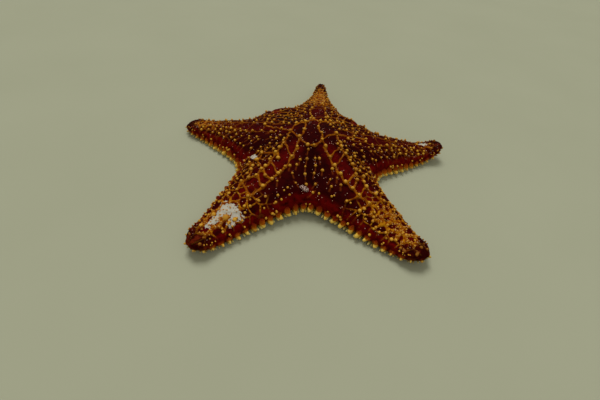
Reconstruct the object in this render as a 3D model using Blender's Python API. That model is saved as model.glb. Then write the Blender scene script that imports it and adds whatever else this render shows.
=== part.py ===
"""A red cushion sea star (Oreaster reticulatus), life size, at rest on its mouth side.

Metres, +Z up. The floor is z = 0 and the origin is the middle of the animal's footprint. A sea
star is five equal arms on a disc, so the body is first drawn as an even five-armed star, one arm
at a time: s runs out along the arm, y runs across it, and z is the height above the floor. Each
point is then carried to its real place, where every arm has its own heading, length, bend and
raised tip, and the web between two arms follows both of them. The body is made whole and parted
by thin cuts into a disc, five arms and five upturned arm tips. The sieve plate lies on the disc.
"""
import math

import bmesh
import bpy
import numpy as np
from mathutils import Vector
from mathutils.bvhtree import BVHTree

# Driving size: from the centre of the disc to the tip of an average arm.
ARM_RADIUS = 0.125

# Outline of the even star.
SECTOR = math.radians(36)                 # half the angle between two neighbouring arms
NOTCH_RADIUS = 0.508 * ARM_RADIUS         # centre to the margin half-way between two arms
NOTCH_S = NOTCH_RADIUS * math.cos(SECTOR)
NOTCH_Y = NOTCH_RADIUS * math.sin(SECTOR)
ARM_ROOT = 0.220 * ARM_RADIUS             # half width of the arm where it leaves the disc
ARM_END = 0.060 * ARM_RADIUS              # half width of the arm just short of its round end
ARM_FULLNESS = -0.09                      # 0 is a straight taper, less than 0 a waisted one
END_ROUND = 0.07 * ARM_RADIUS             # length over which the end rounds off

# Height of the back.
MARGIN_HEIGHT = 0.063 * ARM_RADIUS        # where the back meets the side wall
CREST_HEIGHT = 0.228 * ARM_RADIUS         # of the ridge of an arm at the centre of the disc
DISC_FLAT = 0.187 * ARM_RADIUS            # radius over which the top of the disc stays level
DISC_DOME = 0.57 * ARM_RADIUS             # how far a ridge reaches behind the centre
SIDE_SHAPE = 2.04                         # larger makes a fuller side below the ridge
SIDE_CURL = 0.615                         # smaller makes the side drop more steeply at the margin
RIDGE_BLEND = 6                           # how sharply the ridges of two arms part

# Side wall, spines and knobs.
MARGIN_BULGE = 0.012 * ARM_RADIUS         # of the wall beyond the edge of the back
MARGIN_FOOT = 0.004 * ARM_RADIUS          # of the wall's foot beyond the edge of the back
SPINE_LENGTH = 0.019 * ARM_RADIUS         # of the marginal spines beyond the wall
KNOB_HEIGHT = 0.014 * ARM_RADIUS          # of the blunt tubercles on the ridges
PLATES_PER_SIDE = 14                      # marginal plates along one side of an arm

# Mouth side.
FURROW_DEPTH = 0.018 * ARM_RADIUS         # groove that holds the tube feet
FURROW_HALF = 0.045 * ARM_RADIUS

# Parting cuts.
CUT_GAP = 0.0003
DISC_CUT = 0.50 * ARM_RADIUS
TIP_CUT = 0.86 * ARM_RADIUS

# Sieve plate (madreporite), an oval on the disc in the front web, a little left of its middle line.
SIEVE_HALF_LENGTH = 0.0034
SIEVE_HALF_WIDTH = 0.0017
SIEVE_RISE = 0.0010
SIEVE_GAP = 0.0006                        # keeps its flat facets clear of the curved disc
SIEVE_DISTANCE = 0.45 * ARM_RADIUS
SIEVE_ASIDE = -0.0034

# Pose: name, heading in degrees, length factor, bend to its left side, lift of the tip and how
# much narrower than usual the arm is at its tip.
ARMS = (
    ("right", 14.2, 0.980, -0.001, 0.009, 0.1),
    ("back", 85.6, 1.036, 0.003, 0.009, 0.4),
    ("left", 159.9, 0.983, 0.0065, 0.003, 0.1),
    ("front_left", 230.9, 0.995, 0.0065, 0.005, 0.0),
    ("front_right", 309.4, 0.982, 0.0018, 0.005, 0.0),
)
# How far each web is pushed out, from the one between the right and back arms round to the
# one between the front right and right arms.
WEB_GROWTH = (0.15, 0.28, -0.06, -0.09, -0.10)
# How far the edge of each of these webs is lifted off the ground.
WEB_LIFT = (0.0, 0.0, 0.001, 0.0045, 0.002)
LIFT_START = 0.80 * ARM_RADIUS
DISC_CENTRE = (-0.0008, -0.0135)          # puts the origin in the middle of the footprint

# Columns across the back and across the mouth side, as parts of the half width.
BACK_COLUMNS = (-1, -0.92, -0.78, -0.6, -0.4, -0.2, 0, 0.2, 0.4, 0.6, 0.78, 0.92, 1)
MOUTH_COLUMNS = (-1, -0.6, -0.25, 0, 0.25, 0.6, 1)
# Rows of the disc inside the notches, in arm radii, and the one that bears the five
# primary knobs.
DISC_STATIONS = (0, 0.07, 0.14, 0.205, 0.28, 0.35)
PRIMARY_STATION = 3


def smooth(x):
    x = np.clip(x, 0, 1)
    return x * x * (3 - 2 * x)


def arm_half_width(s):
    """Half width of the free arm: a tapering line, a fillet into the web and a round end."""
    reach = ARM_RADIUS - NOTCH_S
    x = np.clip((s - NOTCH_S) / reach, 0, 1)
    taper = ARM_ROOT + (ARM_END - ARM_ROOT) * x * (1 - ARM_FULLNESS * (1 - x))
    taper_slope = (ARM_ROOT - ARM_END) * (1 - ARM_FULLNESS) / reach
    fillet = (NOTCH_Y - ARM_ROOT) / (1 / math.tan(SECTOR) - taper_slope)
    web = (NOTCH_Y - ARM_ROOT) * np.exp(-x * reach / fillet)
    end = np.clip((s - (ARM_RADIUS - END_ROUND)) / END_ROUND, 0, 1)
    return (taper + web) * np.sqrt(1 - end ** 2)


def half_width(s):
    """Half width of one arm's share of the body, a wedge of the disc and then the arm."""
    return np.where(s < NOTCH_S, s * math.tan(SECTOR), arm_half_width(np.maximum(s, NOTCH_S)))


def crest_height(s):
    """Height of an arm's ridge: level over the disc, then falling evenly to the tip. Behind the
    centre it sinks into the web opposite."""
    out = (np.abs(s) ** 3 + DISC_FLAT ** 3) ** (1 / 3) - DISC_FLAT
    full = (ARM_RADIUS ** 3 + DISC_FLAT ** 3) ** (1 / 3) - DISC_FLAT
    rise = (CREST_HEIGHT - MARGIN_HEIGHT) * (1 - smooth(-s / DISC_DOME))
    return MARGIN_HEIGHT + rise * np.clip(1 - out / full, 0, 1)


def back_height(s, y):
    """Height of the back: five rounded ridges that run together over the disc."""
    total = 0
    for turn in range(5):
        angle = 2 * SECTOR * turn
        along = s * math.cos(angle) + y * math.sin(angle)
        across = np.abs(-s * math.sin(angle) + y * math.cos(angle))
        width = np.where(along < NOTCH_S, NOTCH_Y, arm_half_width(np.maximum(along, NOTCH_S)))
        side = np.clip(across / np.maximum(width, 0.001), 0, 1)
        ridge = (1 - side ** SIDE_SHAPE) ** SIDE_CURL
        total = total + ((crest_height(along) - MARGIN_HEIGHT) * ridge) ** RIDGE_BLEND
    return MARGIN_HEIGHT + total ** (1 / RIDGE_BLEND)


def end_fade(s):
    """The body thins towards the round end of the arm."""
    end = np.clip((s - (ARM_RADIUS - END_ROUND)) / END_ROUND, 0, 1)
    return 0.6 + 0.4 * np.sqrt(1 - end ** 2)


def mouth_height(s, y):
    """Height of the mouth side: flat on the floor, with a furrow along the arm."""
    groove = FURROW_DEPTH * smooth((ARM_RADIUS - s) / (0.3 * ARM_RADIUS))
    return groove * np.clip(1 - np.abs(y) / FURROW_HALF, 0, 1)


def arm_place(index, s, y):
    """Plan position on an arm with that arm's own heading, length and bend."""
    heading = math.radians(ARMS[index][1])
    stretch = 1 + (ARMS[index][2] - 1) * smooth(s / (0.6 * ARM_RADIUS))
    free = np.clip((s - 0.3 * ARM_RADIUS) / (0.7 * ARM_RADIUS), 0, None)
    along = s * stretch
    narrow = 1 - ARMS[index][5] * smooth((s - 0.55 * ARM_RADIUS) / (0.45 * ARM_RADIUS))
    across = y * narrow + ARMS[index][3] * free ** 2
    return (
        along * math.cos(heading) - across * math.sin(heading),
        along * math.sin(heading) + across * math.cos(heading),
    )


def place(index, s, y, z):
    """World position of a point of the even star, shared with the arm on its side."""
    side = 1 if y >= 0 else -1
    neighbour = (index + side) % 5
    polar = abs(math.atan2(y, max(s, 1e-9)))
    own_x, own_y = arm_place(index, s, y)
    turn = -2 * SECTOR * side
    next_s = s * math.cos(turn) - y * math.sin(turn)
    next_y = s * math.sin(turn) + y * math.cos(turn)
    next_x, next_y = arm_place(neighbour, next_s, next_y)
    share = 0.5 * smooth(polar / SECTOR)
    web = index if side > 0 else (index - 1) % 5
    near_web = math.exp(-((SECTOR - polar) / math.radians(16)) ** 2)
    out = min(math.hypot(s, y) / NOTCH_RADIUS, 1) ** 2
    growth = 1 + WEB_GROWTH[web] * near_web * out
    x = ((1 - share) * own_x + share * next_x) * growth
    y = ((1 - share) * own_y + share * next_y) * growth
    lift = ARMS[index][4] * max((s - LIFT_START) / (ARM_RADIUS - LIFT_START), 0) ** 2
    lift += WEB_LIFT[web] * float(smooth(polar / SECTOR)) * out
    return Vector((DISC_CENTRE[0] + x, DISC_CENTRE[1] + y, z + lift))


def outward(s):
    """Direction square to the outline, along and across the arm, on its left side."""
    if s <= NOTCH_S + 1e-7:
        return math.cos(SECTOR), math.sin(SECTOR)
    if s >= ARM_RADIUS - 1e-7:
        return 1.0, 0.0
    step = 1e-6
    slope = float(arm_half_width(s + step) - arm_half_width(s - step)) / (2 * step)
    length = math.hypot(slope, 1)
    return -slope / length, 1 / length


def wall_point(index, s, side, out, height):
    """Point of the side wall, out from the outline and at a part of the wall's height."""
    along, across = outward(s)
    width = float(half_width(s))
    z = height * MARGIN_HEIGHT * float(end_fade(s))
    return place(index, s + out * along, side * (width + out * across), z)


def side_stations():
    """Stations from the notch to the tip, two to each marginal plate, evenly along the edge."""
    s = np.linspace(NOTCH_S, ARM_RADIUS, 4000)
    steps = np.hypot(np.diff(s), np.diff(arm_half_width(s)))
    length = np.concatenate([[0], np.cumsum(steps)])
    marks = np.linspace(0, length[-1], 2 * PLATES_PER_SIDE + 1)
    return [float(value) for value in np.interp(marks, length, s)]


def knob(station, t):
    """Rise of the blunt tubercles: one row on the ridge and one on each side of the back."""
    if station is None:
        return 0.0
    on_ridge = t == 0 and station % 3 == 0
    on_side = abs(t) == 0.6 and station % 3 == 1
    last = 2 * PLATES_PER_SIDE - 4
    return KNOB_HEIGHT if station < last and (on_ridge or on_side) else 0.0


def back_row(index, s, station):
    row = []
    for t in BACK_COLUMNS:
        y = t * float(half_width(s))
        z = float(back_height(s, y)) * float(end_fade(s))
        row.append(place(index, s, y, z + knob(station, t)))
    return row


def mouth_row(index, s):
    row = []
    for t in MOUTH_COLUMNS:
        if abs(t) == 1 and s >= NOTCH_S:
            row.append(wall_point(index, s, t, MARGIN_FOOT, 0))
        else:
            y = t * float(half_width(s))
            row.append(place(index, s, y, float(mouth_height(s, y))))
    return row


def wall_row(index, s, side, station):
    """The side wall from the back down to the floor: upper spines and lower ones in turn."""
    upper = MARGIN_BULGE
    lower = MARGIN_BULGE
    spine = SPINE_LENGTH * (1 - 0.7 * float(smooth((s / ARM_RADIUS - 0.7) / 0.3)))
    if station is not None and station % 2 == 1:
        upper += spine
    elif station is not None:
        lower += 0.8 * spine
    width = float(half_width(s))
    top = float(back_height(s, width)) * float(end_fade(s))
    return [
        place(index, s, side * width, top),
        wall_point(index, s, side, upper, 0.78),
        wall_point(index, s, side, lower, 0.36),
        wall_point(index, s, side, MARGIN_FOOT, 0),
    ]


def add_grid(body, rows):
    """Faces over rows of points."""
    grid = [[body.verts.new(point) for point in row] for row in rows]
    for near, far in zip(grid, grid[1:]):
        for i in range(len(near) - 1):
            body.faces.new((near[i], near[i + 1], far[i + 1], far[i]))


def add_cut_face(body, index, s):
    """Flat end of a length of arm, as a fan round its middle."""
    left = wall_row(index, s, 1, None)
    right = wall_row(index, s, -1, None)
    mouth = mouth_row(index, s)
    loop = back_row(index, s, None) + left[1:-1] + mouth[::-1] + right[1:-1][::-1]
    middle = body.verts.new(place(index, s, 0.0, 0.5 * float(back_height(s, 0.0))))
    rim = [body.verts.new(point) for point in loop]
    for i in range(len(rim)):
        body.faces.new((middle, rim[i], rim[(i + 1) % len(rim)]))


def add_skin(body, index, stations):
    """One arm's share of the back, mouth side and side walls over a list of stations."""
    add_grid(body, [back_row(index, s, station) for s, station in stations])
    add_grid(body, [mouth_row(index, s) for s, station in stations])
    free = [(s, station) for s, station in stations if s >= NOTCH_S]
    for side in (1, -1):
        add_grid(body, [wall_row(index, s, side, station) for s, station in free])


def stations_between(low, high):
    """Numbered stations of the edge that lie clear of two cuts."""
    clear = 0.006 * ARM_RADIUS
    return [(s, i) for i, s in enumerate(side_stations()) if low + clear < s < high - clear]


def make_disc(material):
    """The disc: the inner shares of all five arms, each closed by its cut."""
    body = bmesh.new()
    edge = DISC_CUT - CUT_GAP / 2
    inner = [(part * ARM_RADIUS, None) for part in DISC_STATIONS]
    inner[PRIMARY_STATION] = (inner[PRIMARY_STATION][0], 0)
    outer = [(NOTCH_S, 0)] + stations_between(NOTCH_S, edge) + [(edge, None)]
    for index in range(5):
        add_skin(body, index, inner + outer)
        add_cut_face(body, index, edge)
    return finish_node("disc", body, material)


def make_arm(index, material):
    """A free arm from the disc's cut to the tip's cut."""
    body = bmesh.new()
    root = DISC_CUT + CUT_GAP / 2
    end = TIP_CUT - CUT_GAP / 2
    add_skin(body, index, [(root, None)] + stations_between(root, end) + [(end, None)])
    add_cut_face(body, index, root)
    add_cut_face(body, index, end)
    return finish_node("arm_" + ARMS[index][0], body, material)


def make_tip(index, material):
    """The dark upturned end of an arm."""
    body = bmesh.new()
    root = TIP_CUT + CUT_GAP / 2
    last = ARM_RADIUS
    add_skin(body, index, [(root, None)] + stations_between(root, last) + [(last, None)])
    add_cut_face(body, index, root)
    return finish_node("tip_" + ARMS[index][0], body, material)


def make_sieve_plate(disc, material):
    """A low lens that lies just clear of the disc, in the web between the front arms."""
    ground = BVHTree.FromObject(disc, bpy.context.evaluated_depsgraph_get())
    front_right = 4
    middle_s = SIEVE_DISTANCE * math.cos(SECTOR)
    middle_y = -SIEVE_DISTANCE * math.sin(SECTOR)
    middle = place(front_right, middle_s, middle_y, 0.0) + Vector((SIEVE_ASIDE, 0, 0))

    def above_disc(x, y, rise):
        hit = ground.ray_cast(Vector((x, y, 1.0)), Vector((0, 0, -1)))[0]
        return Vector((x, y, hit.z + SIEVE_GAP + rise))

    body = bmesh.new()
    turns = [2 * math.pi * i / 12 for i in range(12)]
    rings = []
    for reach, rise in ((1.0, 0.0), (1.0, 0.5 * SIEVE_RISE), (0.55, SIEVE_RISE)):
        ring = []
        for turn in turns:
            x = middle.x + reach * SIEVE_HALF_LENGTH * math.cos(turn)
            y = middle.y + reach * SIEVE_HALF_WIDTH * math.sin(turn)
            ring.append(body.verts.new(above_disc(x, y, rise)))
        rings.append(ring)
    for low, high in zip(rings, rings[1:]):
        for i in range(12):
            body.faces.new((low[i], low[(i + 1) % 12], high[(i + 1) % 12], high[i]))
    for ring, rise in ((rings[0], 0.0), (rings[-1], SIEVE_RISE)):
        centre = body.verts.new(above_disc(middle.x, middle.y, rise))
        for i in range(12):
            body.faces.new((centre, ring[i], ring[(i + 1) % 12]))
    return finish_node("sieve_plate", body, material)


def finish_node(name, body, material):
    bmesh.ops.remove_doubles(body, verts=body.verts, dist=2e-6)
    bmesh.ops.recalc_face_normals(body, faces=body.faces)
    mesh = bpy.data.meshes.new(name)
    body.to_mesh(mesh)
    body.free()
    mesh.materials.append(material)
    mesh.shade_smooth()
    node = bpy.data.objects.new(name, mesh)
    bpy.context.collection.objects.link(node)
    return node


def make_material(name, colour, roughness):
    material = bpy.data.materials.new(name)
    material.use_nodes = True
    shader = material.node_tree.nodes["Principled BSDF"]
    shader.inputs["Base Color"].default_value = (*colour, 1)
    shader.inputs["Roughness"].default_value = roughness
    return material


def main():
    for old in list(bpy.data.objects):
        bpy.data.objects.remove(old, do_unlink=True)
    flesh = make_material("maroon skin", (0.16, 0.02, 0.012), 0.55)
    tip_flesh = make_material("dark tip skin", (0.09, 0.015, 0.01), 0.55)
    plate = make_material("pale sieve plate", (0.62, 0.50, 0.38), 0.6)
    disc = make_disc(flesh)
    for index in range(5):
        make_arm(index, flesh)
        make_tip(index, tip_flesh)
    make_sieve_plate(disc, plate)


main()
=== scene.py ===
"""The looks of a red cushion sea star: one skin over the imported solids, with its knobs and spines.

The body is the same even five-armed star as the solids: s runs out along an arm, y across it to
the arm's left, and each point is then carried to its real place. Ochre ridges part the maroon
back: a few chains round the disc, then a ladder of two rails and its rungs along each arm. The
outer arms are covered with small cells, parted by the lines half-way between their centres.
Knobs stand where the ridges meet, and alone in files down the webs with a fine streak each.
Plates with blunt spines line the margin, small beads cover the back, and the mouth side has combs
of spines, tube feet and granules.
"""
import math

import bpy
import numpy as np
from mathutils import Matrix, Vector

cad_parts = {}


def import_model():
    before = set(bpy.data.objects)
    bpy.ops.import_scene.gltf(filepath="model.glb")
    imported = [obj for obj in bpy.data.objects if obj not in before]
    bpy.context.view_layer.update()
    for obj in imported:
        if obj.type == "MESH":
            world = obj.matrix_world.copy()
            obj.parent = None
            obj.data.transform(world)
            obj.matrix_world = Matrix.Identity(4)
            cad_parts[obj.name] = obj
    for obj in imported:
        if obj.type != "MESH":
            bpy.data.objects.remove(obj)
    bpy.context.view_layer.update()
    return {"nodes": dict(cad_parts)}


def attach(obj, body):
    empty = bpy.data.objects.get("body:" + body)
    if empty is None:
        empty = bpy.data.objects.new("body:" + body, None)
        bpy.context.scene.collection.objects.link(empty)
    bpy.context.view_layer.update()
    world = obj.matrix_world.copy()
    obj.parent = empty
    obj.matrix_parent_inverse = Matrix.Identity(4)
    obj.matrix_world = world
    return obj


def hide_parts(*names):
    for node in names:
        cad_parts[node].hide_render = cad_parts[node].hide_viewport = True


# Outline and height of the even star, as in the solids.
ARM_RADIUS = 0.125
SECTOR = math.radians(36)
NOTCH_RADIUS = 0.508 * ARM_RADIUS
NOTCH_S = NOTCH_RADIUS * math.cos(SECTOR)
NOTCH_Y = NOTCH_RADIUS * math.sin(SECTOR)
ARM_ROOT = 0.220 * ARM_RADIUS
ARM_END = 0.060 * ARM_RADIUS
ARM_FULLNESS = -0.09
END_ROUND = 0.07 * ARM_RADIUS
MARGIN_HEIGHT = 0.063 * ARM_RADIUS
CREST_HEIGHT = 0.228 * ARM_RADIUS
DISC_FLAT = 0.187 * ARM_RADIUS
DISC_DOME = 0.57 * ARM_RADIUS
SIDE_SHAPE = 2.04
SIDE_CURL = 0.615
RIDGE_BLEND = 6
MARGIN_BULGE = 0.012 * ARM_RADIUS
FURROW_DEPTH = 0.018 * ARM_RADIUS
FURROW_HALF = 0.045 * ARM_RADIUS
PLATES_PER_SIDE = 14

# Pose of the right, back, left, front left and front right arms, and of the webs after each.
HEADINGS = np.radians([14.2, 85.6, 159.9, 230.9, 309.4])
LENGTHS = np.array([0.980, 1.036, 0.983, 0.995, 0.982])
BENDS = np.array([-0.001, 0.003, 0.0065, 0.0065, 0.0018])
TIP_LIFTS = np.array([0.009, 0.009, 0.003, 0.005, 0.005])
TIP_NARROWING = np.array([0.1, 0.4, 0.1, 0.0, 0.0])
WEB_GROWTHS = np.array([0.15, 0.28, -0.06, -0.09, -0.10])
WEB_LIFTS = np.array([0.0, 0.0, 0.001, 0.0045, 0.002])
LIFT_START = 0.80 * ARM_RADIUS
WEB_SPREAD = math.radians(16)  # how far from a web's middle line its growth is felt
DISC_CENTRE = (-0.0008, -0.0135)
RIGHT, BACK, LEFT, FRONT_LEFT, FRONT_RIGHT = range(5)
ARM_SIDES = [(arm, side) for arm in range(5) for side in (1, -1)]

# Grid of the skin.
DISC_ROWS = 84
ARM_ROWS = 168
BACK_COLUMNS = 112
WALL_COLUMNS = 9
MOUTH_COLUMNS = 16
SKIN_DEPTH = 0.0007  # of the skin below the solids
FLOOR_GAP = 0.0001  # least height of any point above the floor

# Ridges as chains of knobs on the even star, by distance from its middle (thousandths of an arm
# radius) and heading (degrees).
DISC_RIDGES = (
    ((370, 139), (225, 143), (150, 157), (107, 202), (133, 242), (133, 257),
     (95, 290), (155, 357), (300, 3), (385, 0)),
    ((107, 202), (172, 222), (245, 225)), ((95, 290), (145, 282), (217, 280)),
    ((150, 157), (195, 188)), ((155, 357), (190, 325)),
    ((107, 202), (55, 160), (140, 97), (240, 76), (190, 62), (60, 45)),
    ((95, 290), (55, 335), (60, 45)), ((150, 157), (165, 122), (140, 97)),
    ((190, 62), (260, 48), (330, 38)), ((217, 280), (205, 318)),
)
FRONT_LEFT_RIDGES = (
    ((245, 225), (325, 227), (385, 225), (435, 224), (510, 223), (600, 220), (660, 222)),
    ((195, 188), (235, 196), (275, 201), (335, 207), (385, 211), (420, 211),
     (475, 213), (515, 210), (560, 209), (620, 212)),
    ((195, 188), (245, 225)), ((275, 201), (290, 212)), ((335, 207), (385, 225)),
    ((420, 211), (437, 218), (435, 224)), ((475, 213), (510, 223)), ((560, 209), (600, 220)),
    ((275, 201), (350, 190), (400, 198), (420, 211)), ((450, 196), (470, 205), (515, 210)),
)
FRONT_RIGHT_RIDGES = (
    ((217, 280), (285, 279), (355, 280), (415, 280), (475, 282), (530, 283),
     (595, 285), (660, 284)),
    ((190, 325), (250, 309), (290, 309), (330, 301), (375, 298), (400, 293),
     (440, 297), (465, 294), (500, 291), (570, 292), (630, 293)),
    ((250, 309), (285, 279)), ((400, 293), (415, 280)), ((437, 289), (475, 282)),
    ((500, 291), (530, 283)), ((595, 285), (630, 293)), ((530, 283), (540, 274)),
    ((595, 285), (615, 278)), ((375, 298), (380, 307)),
)
HAND_BOLD = 0.95  # boldness of these ridges
# On the other arms, the two rails of a fainter ladder: distance along the arm and from its middle.
NEAR_RAIL = ((0.20, 0.40, 0.50, 0.72), (0.028, 0.052, 0.050, 0.025))
FAR_RAIL = ((0.20, 0.30, 0.50, 0.72), (0.080, 0.085, 0.050, 0.020))
RAILS_START = 0.233
RAILS_END = 0.68
NEAR_STEP = 0.061
FAR_STEP = 0.083
NEAR_SIDES = np.array([-1, 1, 1, 1, -1])  # side of each arm that its near rail runs on
LADDER_BOLD = np.array([0.45, 0.50, 0.45, 1.0, 1.0])
RUNG_CHANCE = 0.7  # that a knob of the far rail has a rung
RUNG_BOLD = 0.75  # of a rung, as a part of its rails'
KNOB_GAP = 0.0018  # least distance between the knobs of the ridges
CELL_SPACING = 0.054 * ARM_RADIUS
CELL_BOLD = np.array([0.35, 0.75, 0.35, 0.90, 0.90])  # of the small cells on each outer arm
FLANK_BOLD = np.array([0.60, 0.80, 0.60, 0.70, 0.70])  # and on its flank turned from the front
OCHRE_START = np.array([0.78, 0.48, 0.66, 0.60, 0.56])  # where each arm's ochre end begins
TIP_START = 0.90  # where its dark tip begins, in arm radii
TIP_RUN = 0.07
RIDGE_RISE = 0.0012
RIDGE_HALF = 0.00046  # half width of the faintest ridge
RIDGE_EXTRA = 0.00024  # more for the boldest
KNOB_REACH = 0.0021  # how far round a knob its ridges are wide and bright
STREAK_UP = 0.0020  # reach of the fine ridges above and below a lone knob
STREAK_DOWN = 0.0046
RIDGE_FILLET = 0.00055  # how far ridges widen where they meet
RIDGE_WOBBLE = 0.0004  # how far they wander from straight lines
NO_RIDGE = 3  # mark of skin far from any ridge, in half widths
# Files of lone knobs down each web: degrees from its middle line, and where the first knob is.
LONE_FILES = ((-23, 0.30), (-14, 0.20), (-5, 0.155), (5, 0.17), (14, 0.21), (23, 0.31))
# Bare whitish patches: arm, middle along and across the arm, and half sizes, in arm radii.
PALE_PATCHES = (
    (FRONT_LEFT, 0.728, 0.030, 0.036, 0.074),
    (FRONT_LEFT, 0.800, -0.002, 0.070, 0.025),
    (FRONT_LEFT, 0.768, 0.076, 0.032, 0.022),
    (FRONT_LEFT, 0.858, -0.010, 0.030, 0.015),
    (FRONT_LEFT, 0.363, -0.200, 0.022, 0.030),
    (RIGHT, 0.870, 0.030, 0.040, 0.020),
)
# Broad low knobs left standing in the largest patch: distance along the arm, across it, and size.
PATCH_KNOBS = ((0.773, 0.036, 0.021), (0.747, 0.080, 0.013), (0.803, -0.033, 0.015))
# Least and greatest half widths of studs spread by rule.
LONE_KNOB_SIZES = (0.0008, 0.0013)
FLANK_KNOB_SIZES = (0.0007, 0.0012)
OUTER_KNOB_SIZES = (0.0006, 0.0016)
BEAD_SIZES = (0.00022, 0.00036)
GRANULE_SIZES = (0.0009, 0.0013)
BEAD_PLACES = 9000  # places tried for beads
# Rows along the margin: height on the wall, distance out, lean, length, half width and half height.
PLATE_ROW = (0.52, -0.0010, 0.05, 0.0044, 0.0022, 0.0032)
SPINE_ROW = (0.32, 0.0004, -0.12, 0.0046, 0.0018, 0.0020)
LOWER_ROW = (0.13, 0.0002, -0.02, 0.0036, 0.0011, 0.0011)
KNOB_ROW = (0.0, 0.6, 0.0014, 0.0011, 0.0011)  # the same but for the height
KNOB_ROW_HEIGHTS = (0.72, 0.92)
KNOBS_PER_ROW = 8
UNWRAP_PATCH = 0.0015  # half size of a stud's patch on the unwrap

SPECULAR = 0.02  # little shine, as under water
FLOOR_HALF = 6.0
ROOM_COLOUR = (1.0, 0.98, 0.84, 1)
ROOM_STRENGTH = 0.34
# Camera: lens in mm, tilts in degrees, and place from the disc's centre in arm radii.
LENS = 17.9
CAMERA_DOWN = 46.5
CAMERA_ROLL = 5.0
CAMERA_PLACE = (-0.046, -1.648, 1.360)

RANDOM = np.random.default_rng(11)


# ---- shape of the body

def smooth(x):
    x = np.clip(x, 0, 1)
    return x * x * (3 - 2 * x)


def ramp(value, start, run):
    """Smooth rise from 0 at the start to 1 after the run."""
    return smooth((value - start) / run)


def turned(x, y, angle):
    return x * np.cos(angle) - y * np.sin(angle), x * np.sin(angle) + y * np.cos(angle)


def end_round(s):
    """1 along the arm, falling to 0 round its blunt end."""
    end = np.clip((s - (ARM_RADIUS - END_ROUND)) / END_ROUND, 0, 1)
    return np.sqrt(1 - end ** 2)


def arm_half_width(s):
    reach = ARM_RADIUS - NOTCH_S
    x = np.clip((s - NOTCH_S) / reach, 0, 1)
    taper = ARM_ROOT + (ARM_END - ARM_ROOT) * x * (1 - ARM_FULLNESS * (1 - x))
    taper_slope = (ARM_ROOT - ARM_END) * (1 - ARM_FULLNESS) / reach
    fillet = (NOTCH_Y - ARM_ROOT) / (1 / math.tan(SECTOR) - taper_slope)
    web = (NOTCH_Y - ARM_ROOT) * np.exp(-x * reach / fillet)
    return (taper + web) * end_round(s)


def half_width(s):
    return np.where(s < NOTCH_S, s * math.tan(SECTOR), arm_half_width(np.maximum(s, NOTCH_S)))


def crest_height(s):
    out = (np.abs(s) ** 3 + DISC_FLAT ** 3) ** (1 / 3) - DISC_FLAT
    full = (ARM_RADIUS ** 3 + DISC_FLAT ** 3) ** (1 / 3) - DISC_FLAT
    rise = (CREST_HEIGHT - MARGIN_HEIGHT) * (1 - smooth(-s / DISC_DOME))
    return MARGIN_HEIGHT + rise * np.clip(1 - out / full, 0, 1)


def back_height(s, y):
    total = 0
    for turn in range(5):
        along, across = turned(s, y, -2 * SECTOR * turn)
        width = np.where(along < NOTCH_S, NOTCH_Y, arm_half_width(np.maximum(along, NOTCH_S)))
        side = np.clip(np.abs(across) / np.maximum(width, 0.001), 0, 1)
        ridge = (1 - side ** SIDE_SHAPE) ** SIDE_CURL
        total = total + ((crest_height(along) - MARGIN_HEIGHT) * ridge) ** RIDGE_BLEND
    return MARGIN_HEIGHT + total ** (1 / RIDGE_BLEND)


def end_fade(s):
    return 0.6 + 0.4 * end_round(s)


def arm_place(index, s, y):
    stretch = 1 + (LENGTHS[index] - 1) * smooth(s / (0.6 * ARM_RADIUS))
    free = np.clip((s - 0.3 * ARM_RADIUS) / (0.7 * ARM_RADIUS), 0, None)
    along = s * stretch
    narrow = 1 - TIP_NARROWING[index] * ramp(s, 0.55 * ARM_RADIUS, 0.45 * ARM_RADIUS)
    across = y * narrow + BENDS[index] * free ** 2
    return turned(along, across, HEADINGS[index])


def place(index, s, y, z):
    """World positions of points of the even star; index is the arm each one belongs to."""
    side = np.where(y >= 0, 1, -1)
    polar = np.abs(np.arctan2(y, np.maximum(s, 1e-9)))
    own_x, own_y = arm_place(index, s, y)
    next_x, next_y = arm_place((index + side) % 5, *turned(s, y, -2 * SECTOR * side))
    share = 0.5 * smooth(polar / SECTOR)
    web = np.where(side > 0, index, (index - 1) % 5)
    near_web = np.exp(-((SECTOR - polar) / WEB_SPREAD) ** 2)
    out = np.minimum(np.hypot(s, y) / NOTCH_RADIUS, 1) ** 2
    growth = 1 + WEB_GROWTHS[web] * near_web * out
    tip_lift = TIP_LIFTS[index] * np.maximum((s - LIFT_START) / (ARM_RADIUS - LIFT_START), 0) ** 2
    web_lift = WEB_LIFTS[web] * smooth(polar / SECTOR) * out
    return np.stack([
        DISC_CENTRE[0] + ((1 - share) * own_x + share * next_x) * growth,
        DISC_CENTRE[1] + ((1 - share) * own_y + share * next_y) * growth,
        z + tip_lift + web_lift,
    ], axis=-1)


def outward(s):
    """Direction square to the outline on the arm's left side."""
    step = 1e-6
    slope = (arm_half_width(s + step) - arm_half_width(s - step)) / (2 * step)
    length = np.hypot(slope, 1)
    along, across = -slope / length, 1 / length
    at_notch = s <= NOTCH_S + 1e-7
    at_end = s >= ARM_RADIUS - 1e-7
    along = np.where(at_notch, math.cos(SECTOR), np.where(at_end, 1.0, along))
    across = np.where(at_notch, math.sin(SECTOR), np.where(at_end, 0.0, across))
    return along, across


def wall_place(index, s, side, out, height):
    """Point of the side wall, out from the outline and at a part of the wall's height."""
    along, across = outward(s)
    z = height * MARGIN_HEIGHT * end_fade(s)
    return place(index, s + out * along, side * (half_width(s) + out * across), z)


def back_place(index, s, y):
    return place(index, s, y, back_height(s, y) * end_fade(s))


def mouth_height(s, y):
    groove = FURROW_DEPTH * smooth((ARM_RADIUS - s) / (0.3 * ARM_RADIUS))
    groove = groove * smooth(s / (0.06 * ARM_RADIUS) + 0.4)
    return groove * smooth(1.15 - np.abs(y) / FURROW_HALF)


def unit(vectors):
    return vectors / np.maximum(np.linalg.norm(vectors, axis=-1, keepdims=True), 1e-12)


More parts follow.
